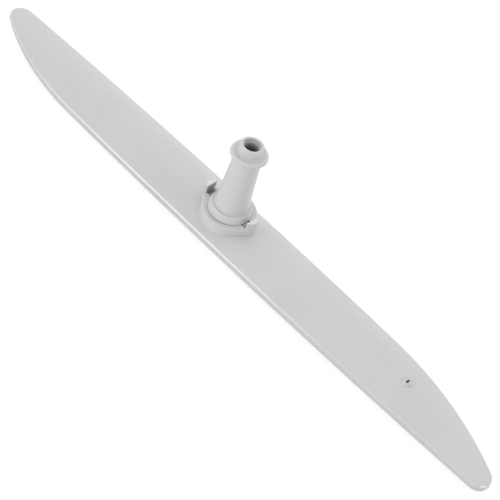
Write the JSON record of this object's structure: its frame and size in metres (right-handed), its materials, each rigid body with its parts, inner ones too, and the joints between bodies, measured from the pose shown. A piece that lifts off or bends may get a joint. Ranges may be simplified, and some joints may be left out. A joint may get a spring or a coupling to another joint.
{
  "type": "dishwasher spray arm",
  "caption": "Hollow two-shell dishwasher spray arm with swept ends, turning on a tall inlet neck that snaps into a feed pipe by a rounded bead.",
  "frame": {"origin": "on the neck's axis at the flat underside of the arm, which is the middle of the bounding box's bottom", "axes": "+Z along the neck from the underside towards the mouth, +X along the arm towards the tip with the nozzle on the neck side, +Y across the arm"},
  "size_m": [0.46, 0.046, 0.074],
  "materials": {
    "arm_plastic": "light grey moulded polypropylene, fine satin skin",
    "neck_plastic": "light grey moulded polypropylene, fine satin skin"
  },
  "bodies": {
    "neck": {"inlet_neck": "neck_plastic"},
    "arm": {"upper_shell": "arm_plastic", "lower_shell": "arm_plastic"}
  },
  "joints": [
    {"name": "arm_spin", "type": "hinge", "parent": "neck", "child": "arm", "pos_m": [0, 0, 0.0135], "axis": [0, 0, 1], "continuous": true}
  ]
}
